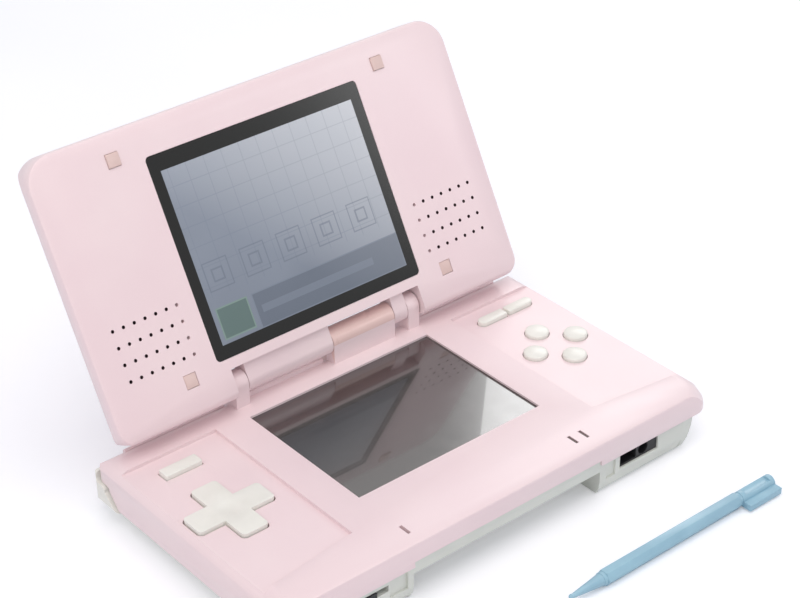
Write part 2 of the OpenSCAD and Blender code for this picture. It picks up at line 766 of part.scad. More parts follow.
// Captive screw of the battery cover
module battery_cover_screw() {
    color(steel) translate([battery_x, battery_y - battery_d / 2 - 0.1, 0.05]) difference() {
        cylinder(r = 1.25, h = cover_t - 0.25, $fn = fine_fn);
        for (a = [0, 90]) rotate(a)
            translate([-0.7, -0.15, -over]) cube([1.4, 0.3, 0.35 + over]);
    }
}

// Rechargeable battery pack
module battery_pack() {
    color(black_resin) difference() {
        translate([battery_x, battery_y, cover_t]) linear_extrude(battery_h)
            plan(battery_w - 0.4, -battery_d / 2 + 0.2, battery_d / 2 - 0.2, 2, 2);
        for (i = [-1, 0, 1])
            block([battery_x - 1 + 4 * i, battery_y + battery_d / 2 - 1, cover_t + 2],
                  [battery_x + 1 + 4 * i, battery_y + battery_d / 2, cover_t + 4]);
    }
}

// Spring contacts that the battery pack touches
module battery_contacts() {
    color("#C9A35A") for (i = [-1, 0, 1])
        block([battery_x - 0.7 + 4 * i, battery_y + battery_d / 2 - 0.15, cover_t + 1.2],
              [battery_x + 0.7 + 4 * i, battery_y + battery_d / 2 + 0.35, board_z]);
}

// Main circuit board with its chips
module main_board() {
    color(board_green) difference() {
        union() {
            block([-board_x, board_y0, board_z], [board_x, board_y1, board_top]);
            for (c = [[-6, -18, 14, 14], [-8, 0, 10, 6.5], [-30, -12, 8, 12], [20, 2, 8, 8]])
                block([c[0], c[1], board_z - 0.9], [c[0] + c[2], c[1] + c[3], board_z + 0.1]);
        }
        for (s = [-1, 1])
            block([s * board_x - 6, board_y0 - over, board_z - over],
                  [s * board_x + 6, board_y0 + 7, board_top + over]);
        for (p = screw_places) translate([p[0], p[1], board_z - over])
            cylinder(r = 2.3, h = 4, $fn = fine_fn);
    }
}

// Lower display module in its tray
module lower_display() {
    color(smoke) block([-touch_panel_w / 2 + 0.4, touch_y - touch_panel_d / 2 + 0.4, lower_z],
                       [touch_panel_w / 2 - 0.4, touch_y + touch_panel_d / 2 - 0.4,
                        touch_z - seat_gap]);
}

// Touch panel under the cover's lip
module touch_panel() {
    color(glass_dark) block([-touch_panel_w / 2, touch_y - touch_panel_d / 2, touch_z],
                            [touch_panel_w / 2, touch_y + touch_panel_d / 2, touch_top]);
}

// Connector at the end of the game card slot
module card_slot_connector() {
    color(black_resin) difference() {
        block([-card_w / 2 + 1.5, card_end_y + 0.1, card_z0 + 0.1],
              [card_w / 2 - 1.5, card_end_y + 5, card_z1 - 0.1]);
        for (i = [0:16])
            block([-13.2 + 1.6 * i, card_end_y + 2, card_z0 + 0.7],
                  [-12.3 + 1.6 * i, card_end_y + 6, card_z0 + 1.6]);
    }
}

// Connector at the end of the cartridge tunnel
module cartridge_slot_connector() {
    color(black_resin) difference() {
        block([slot_x - 26, cart_end_y - 5, cart_z0 + 0.1],
              [slot_x + 26, cart_end_y - 0.1, cart_z1 - 0.1]);
        block([slot_x - 24, cart_end_y - 6, cart_z0 + 2.4],
              [slot_x + 24, cart_end_y - 1.5, cart_z0 + 4]);
    }
}

// Black socket block with the round headphone socket and the square accessory port
module audio_jack() {
    color(black_resin) difference() {
        block([jack_block_x0 + 0.1, front_y + 1.2, jack_block_z0 + 0.1],
              [jack_block_x1 - 0.1, front_y + jack_block_d, board_z - seat_gap]);
        rod_y(jack_x, front_y, front_y + jack_block_d - 1, jack_z, jack_r);
        block([jack_block_x0 + 0.7, front_y, jack_block_z0 + 0.7],
              [jack_x - jack_r - 0.9, front_y + 8, board_z - 0.8]);
    }
}

// Microphone capsule under its slot
module microphone() {
    color(steel) translate([mic_x, mic_y + 0.6, board_top + seat_gap])
        cylinder(r = 2, h = cavity_top - board_top - 0.15, $fn = fine_fn);
}

// Socket for the mains adapter in the rear face
module power_inlet() {
    color(black_resin) difference() {
        block([inlet_x - inlet_w / 2 + 0.1, rear_y - 8.9, 4.7],
              [inlet_x + inlet_w / 2 - 0.1, rear_y - 1.3, 8.3]);
        block([inlet_x - inlet_w / 2 + 1, rear_y - 7, 5.3],
              [inlet_x + inlet_w / 2 - 1, rear_y, 7.7]);
    }
    color(black_resin) block([inlet_x - 2, rear_y - 7.2, 6.2], [inlet_x + 2, rear_y - 2.2, 6.8]);
}

// Small wireless circuit board with its shield can
module wireless_board() {
    color(board_green) block([radio_x, -20, board_z - 2.5],
                             [radio_x + radio_w, radio_d - 20, board_z - 1.7]);
    color(steel) block([radio_x + 2, -18, board_z - 1.75],
                       [radio_x + radio_w - 2, radio_d - 30, board_z - 0.05]);
}

// Clear guides that carry the two status lights to the surface
module status_light_guides() {
    color("#D8E6DC") for (x = light_x)
        block([x - light_w / 2 + 0.05, light_y - light_l / 2 + 0.05, board_top + seat_gap],
              [x + light_w / 2 - 0.05, light_y + light_l / 2 - 0.05, base_h - 0.25]);
}

// Rubber membrane under the directional pad and the power button
module left_membrane() {
    color(rubber_grey) {
        translate([-pad_x, pad_y, board_top + seat_gap]) cylinder(r = membrane_r, h = membrane_t,
                                                                   $fn = fine_fn);
        for (a = [0:90:270]) rotate_about(-pad_x, pad_y, a)
            translate([-pad_x + 8, pad_y, board_top + seat_gap])
                cylinder(r1 = 2.2, r2 = 1.5, h = membrane_t + 0.25, $fn = fine_fn);
        block([-pad_x - 2, pad_y + membrane_r - 1, board_top + seat_gap],
              [-pad_x + 2, power_y - 2, board_top + seat_gap + membrane_t]);
        translate([power_x, power_y, board_top + seat_gap]) cylinder(r = 3, h = membrane_t,
                                                                     $fn = fine_fn);
        translate([power_x, power_y, board_top + seat_gap])
            cylinder(r1 = 2, r2 = 1.4, h = dome_h, $fn = fine_fn);
    }
}

// Turns its children about an upright line
module rotate_about(x, y, a) {
    translate([x, y, 0]) rotate(a) translate([-x, -y, 0]) children();
}

// Rubber membrane under the four round buttons, start and select
module right_membrane() {
    color(rubber_grey) {
        translate([face_x, face_y, board_top + seat_gap]) cylinder(r = membrane_r, h = membrane_t,
                                                                   $fn = fine_fn);
        for (n = ["a", "b", "x", "y"])
            translate([face_place(n)[0], face_place(n)[1], board_top + seat_gap])
                cylinder(r1 = 2.4, r2 = 1.8, h = dome_h, $fn = fine_fn);
        block([face_x - 2, face_y + membrane_r - 1, board_top + seat_gap],
              [face_x + 2, top_row_y, board_top + seat_gap + membrane_t]);
        block([select_x - 3, top_row_y - 2, board_top + seat_gap],
              [start_x + 1, top_row_y + 2, board_top + seat_gap + membrane_t]);
        for (x = [select_x, start_x]) translate([x, top_row_y, board_top + seat_gap])
            cylinder(r1 = 1.7, r2 = 1.2, h = dome_h, $fn = fine_fn);
    }
}

// Screws that hold the bottom case to the top cover
module case_screws() {
    color(steel) for (p = screw_places) translate([p[0], p[1], screw_z]) difference() {
        union() {
            cylinder(r = 1.8, h = 1, $fn = fine_fn);
            cylinder(r = 0.9, h = screw_l, $fn = fine_fn);
        }
        for (a = [0, 120, 240]) rotate(a)
            translate([0, -0.15, -over]) cube([1.1, 0.3, 0.45 + over]);
    }
}

// Friction clutch of the hinge in the middle barrel, with the shaft that carries the knuckle
module hinge_clutch() {
    color(steel) {
        rod_x(barrel_mid_x + 3, knuckle_x0 - 2.55, hinge_y, hinge_z, clutch_r);
        rod_x(knuckle_x0 - 2.6, ear_x1 - 0.6, hinge_y, hinge_z, hinge_pin_r);
    }
}

// Sleeve on which the lid's long barrel turns at the left ear
module hinge_bush() {
    color(steel) difference() {
        rod_x(ear_x0 + 0.6, ear_left_x + 5.5, hinge_y, hinge_z, hinge_pin_r);
        rod_x(ear_x0 - over, ear_left_x + 6, hinge_y, hinge_z, hinge_pin_r * 0.55);
    }
}

// Pins of the two shoulder buttons
module shoulder_pins() {
    color(steel) for (s = [-1, 1])
        translate([s * shoulder_pin_x, shoulder_pin_y, shoulder_z0 - 1.6])
            cylinder(r = shoulder_pin_r, h = shoulder_z1 - shoulder_z0 + 2.8, $fn = fine_fn);
}

// Coils of the two return springs, stacked below the shoulder bosses
module shoulder_springs() {
    color(steel) for (s = [-1, 1], i = [0:2])
        translate([s * shoulder_pin_x, shoulder_pin_y, shoulder_z0 + 0.05 + 0.36 * i])
            rotate_extrude($fn = fine_fn) translate([1.3, 0]) square([0.4, 0.36]);
}

// Bead in the middle of the directional pad on which it rocks
module d_pad_pivot() {
    color(rubber_grey) translate([-pad_x, pad_y, board_top + seat_gap + membrane_t + 0.15])
        cylinder(r1 = 1.4, r2 = 1, h = pad_pivot_z - 0.9 - board_top - membrane_t - 0.2,
                 $fn = fine_fn);
}

// Directional pad: cross, dished centre and a round flange below
module d_pad() {
    color(cap_white) translate([-pad_x, pad_y, 0]) difference() {
        union() {
            translate([0, 0, pad_pivot_z - 0.05]) linear_extrude(pad_top - pad_pivot_z + 0.05)
                cross_plan(0);
            translate([0, 0, pad_pivot_z - 0.7]) cylinder(r = pad_flange_r, h = 0.7,
                                                          $fn = fine_fn);
        }
        translate([0, 0, pad_top + 13.6]) sphere(r = 14, $fn = fine_fn);
    }
}

// Round push button: domed cap, stem and flange
module face_button(name) {
    dome_r = 16;
    color(cap_white) translate([face_place(name)[0], face_place(name)[1], 0]) union() {
        intersection() {
            translate([0, 0, flange_z]) cylinder(r = face_r, h = cap_top - flange_z,
                                                 $fn = fine_fn);
            translate([0, 0, cap_top - dome_r]) sphere(r = dome_r, $fn = wide_fn);
        }
        translate([0, 0, flange_z]) cylinder(r = face_r + flange_edge, h = flange_t,
                                             $fn = fine_fn);
    }
}

module button_a() { face_button("a"); }
module button_b() { face_button("b"); }
module button_x() { face_button("x"); }
module button_y() { face_button("y"); }

// Small pill button with its flange
module pill_button(x, side) {
    color(cap_white) translate([x, top_row_y, 0]) {
        translate([0, 0, flange_z]) linear_extrude(cap_top - flange_z) pill_plan(0, side);
        translate([0, 0, flange_z]) linear_extrude(flange_t) pill_plan(0.4, side);
    }
}

module start_button() { pill_button(start_x, 1); }
module select_button() { pill_button(select_x, -1); }

// Bar of the power button with its flange
module power_button() {
    color(cap_white) translate([power_x, power_y, 0]) {
        translate([0, 0, flange_z]) linear_extrude(cap_top - flange_z)
            plan(power_l, -power_w / 2, power_w / 2, 0.5, 0.5);
        translate([0, 0, flange_z]) linear_extrude(flange_t)
            plan(power_l + 1, -power_w / 2 - 0.5, power_w / 2 + 0.5, 0.6, 0.6);
    }
}

// Shoulder button that wraps a rear corner and turns on an upright pin
module shoulder(s) {
    rr = shoulder_edge_r;
    out = half_w + shoulder_bulge - rr;
    back = rear_y + shoulder_back - rr;
    side = concat(arc(out, shoulder_z1 - rr, rr, 90, 0, 6),
                  arc(out, shoulder_z0 + rr, rr, 0, -90, 6));
    rear = concat(arc(back, shoulder_z1 - rr, rr, 90, 0, 6),
                  arc(back, shoulder_z0 + rr, rr, 0, -90, 6));
    color(cap_white) difference() {
        union() {
            intersection() {
                translate([0, 0, shoulder_z0]) linear_extrude(shoulder_z1 - shoulder_z0)
                    difference() {
                        plan(case_w + 2 * shoulder_bulge, front_y, rear_y + shoulder_back,
                             corner_front_r, shoulder_corner_r);
                        plan(case_w - 2 * shoulder_t, front_y, rear_y - shoulder_t,
                             corner_front_r, shoulder_corner_r);
                    }
                along_y(concat(mirrored(side), side), front_y, rear_y + 2);
                along_x(concat([[front_y, shoulder_z0], [front_y, shoulder_z1]], rear),
                        -half_w - 2, half_w + 2);
                along_x(shoulder_line(0, 0), s < 0 ? -half_w - 2 : shoulder_x,
                        s < 0 ? -shoulder_x : half_w + 2);
            }
            translate([s * shoulder_pin_x, shoulder_pin_y, shoulder_z0 + 1.2])
                cylinder(r = shoulder_boss_r, h = shoulder_z1 - shoulder_z0 - 1.2, $fn = fine_fn);
        }
        translate([s * shoulder_pin_x, shoulder_pin_y, 0])
            cylinder(r = shoulder_pin_r + pin_clear, h = base_h, $fn = fine_fn);
        translate([s * shoulder_pin_x, shoulder_pin_y, shoulder_z0 - over])
            cylinder(r = shoulder_boss_r, h = 1.2 + over, $fn = fine_fn);
    }
}

module shoulder_left() { shoulder(-1); }
module shoulder_right() { shoulder(1); }

// Knob of the volume slider in its slot
module volume_slider() {
    h = volume_slot_h - 0.3;
    color(black_resin) {
        block([volume_x - volume_knob_l / 2, front_y + 0.35, volume_z - h / 2],
              [volume_x + volume_knob_l / 2, front_y + 5.5, volume_z + h / 2]);
        block([volume_x - volume_knob_l / 2, front_y + 4, volume_z - h / 2],
              [volume_x + volume_knob_l / 2, front_y + 5.5, board_z - seat_gap]);
    }
}

// Stylus lying on the table with its ridge up: tapered tip, six-sided body, neck and cap
module stylus() {
    flat = stylus_r * cos(30);
    tip_l = 11;
    cap_l = 12.5;
    body_l = stylus_l - tip_l - cap_l;
    color(stylus_blue) translate([stylus_tip_x, stylus_y, flat]) {
        rotate([0, 90, 0]) {
            translate([0, 0, 1]) cylinder(r1 = 0.6, r2 = flat * 0.86, h = tip_l - 1,
                                          $fn = fine_fn);
            translate([0, 0, 0.75]) sphere(r = 0.75, $fn = fine_fn);
            translate([0, 0, tip_l - 0.05]) cylinder(r = flat * 0.94, h = 1.2, $fn = fine_fn);
            translate([0, 0, tip_l + 1]) rotate(30) cylinder(r = stylus_r, h = body_l - 2,
                                                            $fn = 6);
            translate([0, 0, tip_l + body_l - 1.1]) cylinder(r = flat * 0.92, h = 1.2,
                                                            $fn = fine_fn);
        }
        difference() {
            union() {
                translate([tip_l + body_l, 0, 0]) rotate([0, 90, 0])
                    cylinder(r = flat, h = cap_l, $fn = fine_fn);
                block([tip_l + body_l + 0.1, -flat - 2.4, 0.3 - flat], [stylus_l - 0.1, 0, 0.2]);
            }
            translate([tip_l + body_l + 1.5, 0, flat + 2.1]) rotate([0, 90, 0])
                cylinder(r = 2.9, h = cap_l - 3, $fn = fine_fn);
        }
    }
}

// Pink front cover of the lid: window seat, speaker holes, plug seats, barrel and knuckle
module lid_front_cover() {
    edge = concat([[1.2, lid_face_z], [0.35, lid_face_z + 0.35], [0, lid_face_z + 1.2],
                   [0, lid_seam_z]]);
    color(pearl_pink) lid_at_rest() difference() {
        union() {
            difference() {
                soft_slab(lid_w, lid_y0, lid_y1, lid_far_r, lid_near_r, edge);
                lid_notch();
                heel_relief();
                translate([0, 0, lid_face_z + wall]) linear_extrude(lid_front_t)
                    plan(lid_w - 2 * wall, lid_y0 + wall, hinge_y - notch_v - wall,
                         lid_far_r - wall, lid_near_r - wall);
            }
            lid_barrel(ear_left_x + barrel_gap, barrel_mid_x - barrel_gap);
            lid_barrel(knuckle_x0 + barrel_gap, knuckle_x1 - barrel_gap);
            window_shelf();
            plug_posts();
        }
        hinge_bores(pin_clear);
        window_cut(0);
        window_cut_through();
        speaker_holes();
        plug_seats();
    }
}

// Cut in the lid's heel that clears the barrels of the base
module lid_notch() {
    block([notch_x0, hinge_y - notch_v, lid_face_z - over],
          [notch_x1, lid_y1 + over, lid_top_z + over]);
}

// Cut along the heel's inner edge that clears the base while the lid turns
module heel_relief() {
    along_x([[lid_y1 - heel_cut, lid_face_z - over], [lid_y1 - heel_cut, lid_face_z],
             [lid_y1 - heel_cut * 0.5, lid_face_z + heel_cut * 0.22],
             [lid_y1 - heel_cut * 0.2, lid_face_z + heel_cut * 0.55],
             [lid_y1, lid_face_z + heel_cut], [lid_y1 + over, lid_face_z + heel_cut],
             [lid_y1 + over, lid_face_z - over]], -lid_w, lid_w);
}

// Place of a point of the lid: distance v from the hinge axis towards the far edge
function lid_y(v) = hinge_y - v;

// Middle of the upper display's viewing area
view_w = window_w - 2 * border_side;
view_d = window_d - border_near - border_far;
view_mid = hinge_y - window_v - border_near - view_d / 2;

// Window's recess in the front cover, grown by a margin
module window_cut(margin) {
    translate([0, 0, lid_face_z - over]) linear_extrude(window_t + 0.2 + over)
        plan(window_w + 2 * margin, lid_y(window_v + window_d) - margin,
             lid_y(window_v) + margin, window_r, window_r);
}

// Opening behind the window for the display
module window_cut_through() {
    block([-window_w / 2 + 1.2, lid_y(window_v + window_d) + 1.2, lid_face_z - over],
          [window_w / 2 - 1.2, lid_y(window_v) - 1.2, lid_top_z]);
}

// Frame behind the window that locates the display
module window_shelf() {
    block([-window_w / 2 - wall, lid_y(window_v + window_d) - wall, lid_face_z + 0.5],
          [window_w / 2 + wall, lid_y(window_v) + wall - 0.2, lid_seam_z - 0.2]);
}

// Columns and rows of holes over both speakers
module speaker_holes() {
    for (s = [-1, 1], i = [0:hole_cols - 1], j = [0:hole_rows - 1])
        translate([s * (hole_x0 + hole_pitch_x * i), lid_y(hole_v0 + hole_pitch_v * j),
                   lid_face_z - over])
            cylinder(r = hole_r, h = wall + 2 * over, $fn = 16);
}

// Posts that the lid's screws go into
module plug_posts() {
    for (s = [-1, 1]) {
        translate([s * plug_far_x, lid_y(plug_far_v), lid_face_z + 0.4])
            cylinder(r = 3, h = lid_front_t - 0.7, $fn = fine_fn);
        translate([s * plug_near_x, lid_y(plug_near_v) - 0.6, lid_face_z + 0.4])
            cylinder(r = 3, h = lid_front_t - 0.7, $fn = fine_fn);
    }
}

// Square seats of the plugs with the screw holes below them
module plug_seats() {
    for (s = [-1, 1], p = [[plug_far_x, plug_far_v], [plug_near_x, plug_near_v]])
        translate([s * p[0], lid_y(p[1]), lid_face_z - over]) {
            linear_extrude(plug_depth + over) square(plug_side + 0.2, center = true);
            cylinder(r = 0.95, h = lid_front_t + 2 * over, $fn = fine_fn);
            cylinder(r = 1.6, h = plug_depth + 1.3 + over, $fn = fine_fn);
        }
}

// Pink back cover of the lid with its rounded edge
module lid_back_cover() {
    edge = concat([[0, lid_seam_z + 0.02]],
                  arc_inset(lid_round, lid_top_z, 8));
    color(pearl_pink) lid_at_rest() difference() {
        intersection() {
            soft_slab(lid_w, lid_y0, lid_y1, lid_far_r, lid_near_r, edge);
            lid_slope();
        }
        lid_notch();
        difference() {
            intersection() {
                translate([0, 0, lid_seam_z - over]) linear_extrude(lid_t)
                    plan(lid_w - 2 * wall, lid_y0 + wall, hinge_y - notch_v - wall,
                         lid_far_r - wall, lid_near_r - wall);
                lid_room();
            }
            for (p = lid_screw_places)
                translate([p[0], p[1], lid_seam_z]) cylinder(r = 2.4, h = lid_t, $fn = fine_fn);
        }
        for (p = lid_screw_places)
            translate([p[0], p[1], lid_seam_z - over])
                cylinder(r = 0.92, h = 7.1 - lid_front_t + over, $fn = fine_fn);
    }
}

// Rounded slope that the sides of the lid's back follow from the seam to the top
module lid_slope() {
    h = lid_top_z - lid_seam_z;
    a1 = 2 * atan(lid_slope_w / h) - lid_slope_a;
    r = h / (sin(a1) - sin(lid_slope_a));
    x = lid_w / 2 - r * cos(lid_slope_a);
    side = concat([[lid_w / 2, lid_seam_z - over]],
                  arc(x, lid_seam_z - r * sin(lid_slope_a), r, lid_slope_a, a1, 8),
                  [[x + r * cos(a1), lid_top_z + over]]);
    along_y(concat(side, mirrored(side)), lid_y0 - over, lid_y1 + over);
}

// Places of the lid's screws, in the closed lid
lid_screw_places = [for (s = [-1, 1], p = [[plug_far_x, plug_far_v], [plug_near_x, plug_near_v]])
                    [s * p[0], lid_y(p[1])]];

// Inner height of the lid's hollow, lower along its rounded edge
module lid_room() {
    x1 = lid_w / 2 - wall - 1.9;
    x2 = lid_w / 2 - lid_slope_w;
    top = lid_top_z - wall;
    side = [[x1, lid_seam_z - 2 * over], [x1, lid_top_z - lid_round], [x2, top]];
    flip = mirrored(side);
    intersection() {
        along_y(concat(side, flip), lid_y0, lid_y1);
        along_x([[lid_y0 + wall, lid_seam_z - 2 * over], [lid_y0 + wall, lid_top_z - lid_round],
                 [lid_y0 + lid_round, top], [lid_y1, top], [lid_y1, lid_seam_z - 2 * over]],
                -lid_w / 2, lid_w / 2);
    }
}

// Edge points of a quarter round that ends on top, as inset and height
function arc_inset(r, top, n) =
    [for (i = [0:n]) [r - r * cos(90 * i / n), top - r + r * sin(90 * i / n)]];

// Window over the upper display
module screen_window() {
    color(black_resin) lid_at_rest()
        translate([0, 0, lid_face_z + 0.15]) linear_extrude(window_t)
            plan(window_w - 0.2, lid_y(window_v + window_d) + 0.1, lid_y(window_v) - 0.1,
                 window_r, window_r);
}

// Upper display behind the window
module upper_display() {
    mid = view_mid;
    color(smoke) lid_at_rest()
        block([-view_w / 2 - 1.5, mid - view_d / 2 - 2, lid_face_z + window_t + 0.25],
              [view_w / 2 + 1.5, mid + view_d / 2 + 2, lid_face_z + window_t + display_t]);
}

// Sheet frame that clamps the upper display in the lid
module display_frame() {
    mid = view_mid;
    z0 = lid_face_z + window_t + display_t + seat_gap;
    color(steel) lid_at_rest() difference() {
        block([-view_w / 2 - 4, mid - view_d / 2 - 4, z0], [view_w / 2 + 4, mid + view_d / 2 + 4,
                                                         z0 + 0.8]);
        block([-view_w / 2 + 6, mid - view_d / 2 + 6, z0 - over],
              [view_w / 2 - 6, mid + view_d / 2 - 6, z0 + 2]);
    }
}

// Loudspeaker behind its holes: basket, magnet
module speaker(s) {
    color(steel) lid_at_rest() translate([s * speaker_x, lid_y(speaker_v), lid_face_z + wall]) {
        translate([0, 0, 0.1]) linear_extrude(2.4) plan(speaker_w, -9, 9, 5, 5);
        translate([0, 0, 2.4]) cylinder(r = 6.5, h = 2.6, $fn = fine_fn);
    }
}

module speaker_left() { speaker(-1); }
module speaker_right() { speaker(1); }

// Square rubber bumpers that keep the closed lid off the base
module lid_bumpers() {
    color(rubber_grey) lid_at_rest() for (s = [-1, 1])
        translate([s * plug_far_x, lid_y(plug_far_v), lid_face_z - bumper_rise])
            linear_extrude(plug_depth + bumper_rise - seat_gap) square(plug_side, center = true);
}

// Flat square caps over the two screws beside the hinge
module lid_screw_caps() {
    color(rubber_grey) lid_at_rest() for (s = [-1, 1])
        translate([s * plug_near_x, lid_y(plug_near_v), lid_face_z + 0.1])
            linear_extrude(plug_depth - 0.1 - seat_gap) square(plug_side, center = true);
}

// Four screws of the lid under the bumpers and caps
module lid_screws() {
    color(steel) lid_at_rest()
        for (s = [-1, 1], p = [[plug_far_x, plug_far_v], [plug_near_x, plug_near_v]])
            translate([s * p[0], lid_y(p[1]), lid_face_z + plug_depth]) {
                cylinder(r = 1.5, h = 1.1, $fn = fine_fn);
                cylinder(r = 0.9, h = 5.5, $fn = fine_fn);
            }
}

base_top_cover();
base_bottom_case();
battery_cover();
battery_cover_screw();
battery_pack();
battery_contacts();
main_board();
lower_display();
touch_panel();
card_slot_connector();
cartridge_slot_connector();
audio_jack();
microphone();
power_inlet();
wireless_board();
status_light_guides();
left_membrane();
right_membrane();
case_screws();
hinge_clutch();
hinge_bush();
shoulder_pins();
shoulder_springs();
d_pad_pivot();
d_pad();
button_a();
button_b();
button_x();
button_y();
start_button();
select_button();
power_button();
shoulder_left();
shoulder_right();
volume_slider();
stylus();
lid_front_cover();
lid_back_cover();
screen_window();
upper_display();
display_frame();
speaker_left();
speaker_right();
lid_bumpers();
lid_screw_caps();
lid_screws();
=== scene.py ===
"""Looks of the clamshell handheld console: camera, finishes, surface pieces, floor, light."""

import json
import math

import bmesh
import bpy
from mathutils import Matrix, Vector

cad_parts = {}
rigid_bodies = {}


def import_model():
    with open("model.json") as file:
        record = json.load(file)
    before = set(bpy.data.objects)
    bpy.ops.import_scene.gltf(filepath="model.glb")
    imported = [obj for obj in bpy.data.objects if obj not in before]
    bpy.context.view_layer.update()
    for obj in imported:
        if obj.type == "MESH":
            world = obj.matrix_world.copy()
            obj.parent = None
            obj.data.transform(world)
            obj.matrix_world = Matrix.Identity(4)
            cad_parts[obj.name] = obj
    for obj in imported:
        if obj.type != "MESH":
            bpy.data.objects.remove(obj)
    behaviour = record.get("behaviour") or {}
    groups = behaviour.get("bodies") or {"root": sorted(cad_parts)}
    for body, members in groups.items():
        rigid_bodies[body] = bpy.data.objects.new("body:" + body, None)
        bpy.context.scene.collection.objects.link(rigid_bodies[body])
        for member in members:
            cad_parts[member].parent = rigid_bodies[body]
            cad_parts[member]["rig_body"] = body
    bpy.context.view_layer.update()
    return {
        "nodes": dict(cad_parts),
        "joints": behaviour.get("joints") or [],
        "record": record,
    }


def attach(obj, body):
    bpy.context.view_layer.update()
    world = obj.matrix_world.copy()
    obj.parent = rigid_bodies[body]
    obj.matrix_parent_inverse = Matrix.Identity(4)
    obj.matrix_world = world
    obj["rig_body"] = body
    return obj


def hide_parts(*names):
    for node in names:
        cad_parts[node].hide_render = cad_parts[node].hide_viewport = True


MM = 0.001
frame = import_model()
nodes = frame["nodes"]
slots = {s["node"]: s["material_slot"] for s in frame["record"]["subparts"]}
scene = bpy.context.scene

# Hinge axis, and the open lid's own directions: across, up, and out of its back
hinge = next(j for j in frame["joints"] if j["name"] == "lid_hinge")
AXIS = Vector(hinge["pos_m"])
OPEN = math.radians(-hinge["range_deg"][0])
ACROSS = Vector((1, 0, 0))
UP = Vector((0, -math.cos(OPEN), math.sin(OPEN)))
OUT = UP.cross(ACROSS).normalized()

# Camera of the photograph
cam = bpy.data.objects.new("camera", bpy.data.cameras.new("camera"))
scene.collection.objects.link(cam)
scene.camera = cam
RIGHT = Vector((0.76909, -0.63901, -0.01331))
DOWN = Vector((-0.35542, -0.41029, -0.83984))
AHEAD = Vector((0.53120, 0.65064, -0.54267))
cam.matrix_world = Matrix((
    (RIGHT.x, -DOWN.x, -AHEAD.x, -0.29146),
    (RIGHT.y, -DOWN.y, -AHEAD.y, -0.35171),
    (RIGHT.z, -DOWN.z, -AHEAD.z, 0.34041),
    (0, 0, 0, 1)))
cam.data.sensor_width = 36
cam.data.lens = 92.843
cam.data.shift_x = 0.005
cam.data.shift_y = 0.0429
cam.data.clip_start = 0.02
cam.data.clip_end = 30

scene.view_settings.view_transform = "Standard"
scene.view_settings.look = "None"


def lin(hex_code):
    """Linear RGBA of an sRGB colour written as six hex digits."""
    v = [int(hex_code[i:i + 2], 16) / 255 for i in (0, 2, 4)]
    return [c / 12.92 if c <= 0.04045 else ((c + 0.055) / 1.055) ** 2.4 for c in v] + [1.0]


def add(tree, kind, *values, **named):
    """A shader node: values fill its inputs in order, named ones are settings or inputs."""
    node = tree.nodes.new("ShaderNode" + kind)
    given = []
    for key, value in named.items():
        if hasattr(node, key):
            setattr(node, key, value)
        else:
            given.append((node.inputs[key.replace("_", " ")], value))
    given += zip([s for s in node.inputs if s.enabled], values)
    for socket, value in given:
        if isinstance(value, bpy.types.Node):
            value = next(s for s in value.outputs if s.enabled)
        if isinstance(value, bpy.types.NodeSocket):
            tree.links.new(value, socket)
        else:
            socket.default_value = value
    return node


def new_material(name):
    """An empty material, its node tree and its Object coordinates in millimetres."""
    m = bpy.data.materials.new(name)
    m.use_nodes = True
    t = m.node_tree
    t.nodes.clear()
    place = add(t, "TexCoord").outputs["Object"]
    return m, t, add(t, "VectorMath", place, 1000.0, operation="SCALE")


def finish(name, low, high, rough, spread, cloud, grain, grain_depth, metallic=0.0, coat=0.0,
           coat_rough=0.1, ior=1.46, extra=None):
    """Soft clouds between two close colours under a fine grain; depths in mm, scales per mm."""
    m, t, p = new_material(name)
    clouds = add(t, "TexNoise", p, cloud, 3.0, 0.5)
    fine = add(t, "TexNoise", p, grain, 2.0, 0.6)
    wear = add(t, "TexNoise", p, cloud * 4, 3.0, 0.5)
    colour = add(t, "Mix", add(t, "MapRange", clouds, 0.3, 0.7, 0.0, 1.0), lin(low), lin(high),
                 data_type="RGBA")
    b = add(t, "BsdfPrincipled", Metallic=metallic, IOR=ior,
            Base_Color=extra(t, p, colour) if extra else colour,
            Roughness=add(t, "MapRange", wear, 0.25, 0.75, rough - spread, rough + spread),
            Normal=add(t, "Bump", Strength=0.35, Distance=grain_depth * MM, Height=fine))
    b.inputs["Coat Weight"].default_value = coat
    b.inputs["Coat Roughness"].default_value = coat_rough
    add(t, "OutputMaterial", Surface=b)
    return m


def pearl(t, p, colour):
    """Fine flakes under the lacquer with painted glints, and a painted sheen that makes the
    colour paler at grazing angles.
    """
    flakes = add(t, "TexVoronoi", p, Scale=9.0, feature="F1").outputs["Color"]
    painted_flake_glint = add(t, "MapRange", flakes, 0.55, 1.0, 0.0, 1.0)
    facing = add(t, "LayerWeight", Blend=0.3).outputs["Facing"]
    painted_sheen = add(t, "Mix", add(t, "Math", facing, 0.45, operation="MULTIPLY"), colour,
                lin("F3E8EA"), data_type="RGBA")
    return add(t, "Mix", add(t, "Math", painted_flake_glint, 0.12, operation="MULTIPLY"), painted_sheen,
               lin("FBEFEC"), data_type="RGBA")


def guides(t, p, colour):
    """The guide at the left has the red glow of its lamp painted in, the two at the right are
    dark.
    """
    x = add(t, "SeparateXYZ", p).outputs[0]
    return add(t, "Mix", add(t, "MapRange", x, -10, 10, 0.0, 1.0), lin("A8505A"), lin("4A2A2A"),
               data_type="RGBA")


